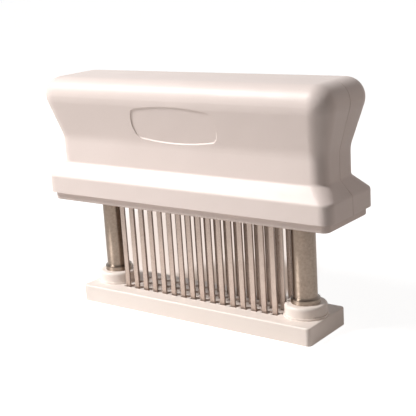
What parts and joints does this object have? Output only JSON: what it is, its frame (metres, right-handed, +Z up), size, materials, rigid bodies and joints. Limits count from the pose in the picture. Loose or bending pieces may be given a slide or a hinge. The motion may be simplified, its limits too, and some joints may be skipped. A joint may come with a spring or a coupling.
{
  "type": "blade meat tenderizer",
  "caption": "Hand-held tenderizer: a waisted handle with rows of flat blades slides down two sprung columns through a slotted base.",
  "frame": {"origin": "centre of the base's underside", "axes": "+X along the handle to the right seen from the front, +Y to the rear, +Z up along the columns"},
  "size_m": [0.146, 0.0366, 0.103],
  "materials": {
    "shell_plastic": "smooth moulded ABS in a warm white, soft gloss",
    "inner_plastic": "plain moulded acetal",
    "polished_steel": "satin stainless tube",
    "blade_steel": "fine ground stainless",
    "plain_steel": "plain turned or stamped steel",
    "screw_steel": "bright plated",
    "spring_steel": "drawn wire, lightly oiled"
  },
  "bodies": {
    "base": {"base_plate": "shell_plastic", "left_column_tube": "polished_steel", "right_column_tube": "polished_steel", "left_column_plug": "plain_steel", "right_column_plug": "plain_steel", "base_screws": "screw_steel", "left_stop_washer": "plain_steel", "right_stop_washer": "plain_steel", "left_retaining_clip": "spring_steel", "right_retaining_clip": "spring_steel", "left_return_spring": "spring_steel", "right_return_spring": "spring_steel"},
    "handle": {"handle_front_shell": "shell_plastic", "handle_rear_shell": "shell_plastic", "bottom_cover": "shell_plastic", "cover_screws": "screw_steel", "left_guide_bush": "inner_plastic", "right_guide_bush": "inner_plastic", "blade_block": "inner_plastic", "blade_clamp_plate": "plain_steel", "clamp_screws": "screw_steel", "front_blades": "blade_steel", "middle_blades": "blade_steel", "back_blades": "blade_steel", "left_spring_guide": "inner_plastic", "right_spring_guide": "inner_plastic"}
  },
  "joints": [
    {"name": "handle_press", "type": "slide", "parent": "base", "child": "handle", "axis": [0, 0, -1], "range_m": [0, 0.0317], "stiffness_N_per_m": 1100, "springref_m": -0.0125, "deforming": ["left_return_spring", "right_return_spring"]}
  ]
}
